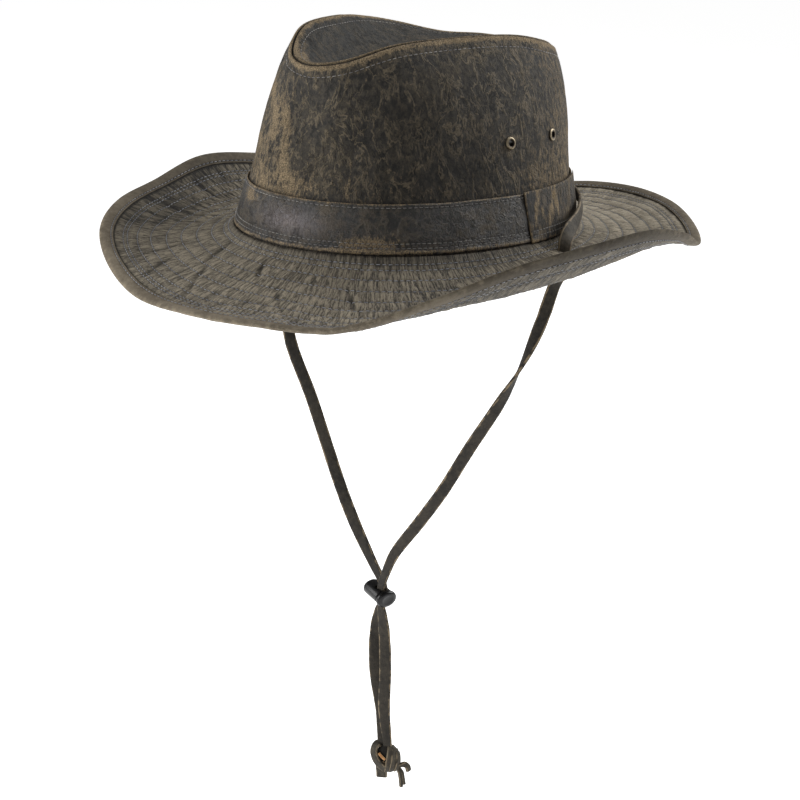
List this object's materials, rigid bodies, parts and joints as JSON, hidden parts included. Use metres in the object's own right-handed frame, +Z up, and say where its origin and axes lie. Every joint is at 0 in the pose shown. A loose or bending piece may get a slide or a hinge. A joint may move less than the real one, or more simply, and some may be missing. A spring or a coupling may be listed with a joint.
{
  "type": "bush hat",
  "caption": "Weathered cotton bush hat with a dented teardrop crown, curled stitched brim, band, vent eyelets and a chin strap with slider and knot.",
  "frame": {"origin": "middle of the oval head opening, level with the seam between crown and brim", "axes": "+Z up through the crown, -Y to the front of the hat, +X to the wearer's left"},
  "size_m": [0.3264, 0.3467, 0.4474],
  "materials": {
    "crown_cloth": "weathered dark brown cotton, worn tan at the folds and seams",
    "tip_cloth": "weathered charcoal cotton, worn tan at the seam",
    "brim_cloth": "stitched and puckered brown-grey cotton with blue-grey thread",
    "binding_tape": "plain brown-grey tape, faintly smooth",
    "band_cloth": "dark, slightly shiny weathered cotton with tan rubbed patches",
    "strap_lace": "folded dark olive-brown lace with paler edges",
    "eyelet_brass": "antique brass, dark in the recess",
    "slider_plastic": "black, smooth and glossy"
  },
  "bodies": {
    "root": {"crown_wall": "crown_cloth", "crown_tip": "tip_cloth", "brim": "brim_cloth", "brim_binding": "binding_tape", "hat_band": "band_cloth", "band_keeper": "band_cloth", "eyelet_left_front": "eyelet_brass", "eyelet_left_back": "eyelet_brass", "eyelet_right_front": "eyelet_brass", "eyelet_right_back": "eyelet_brass", "strap_round_crown": "strap_lace", "strap_left": "strap_lace", "strap_right": "strap_lace", "strap_slider": "slider_plastic", "strap_knot": "strap_lace"}
  },
  "joints": []
}
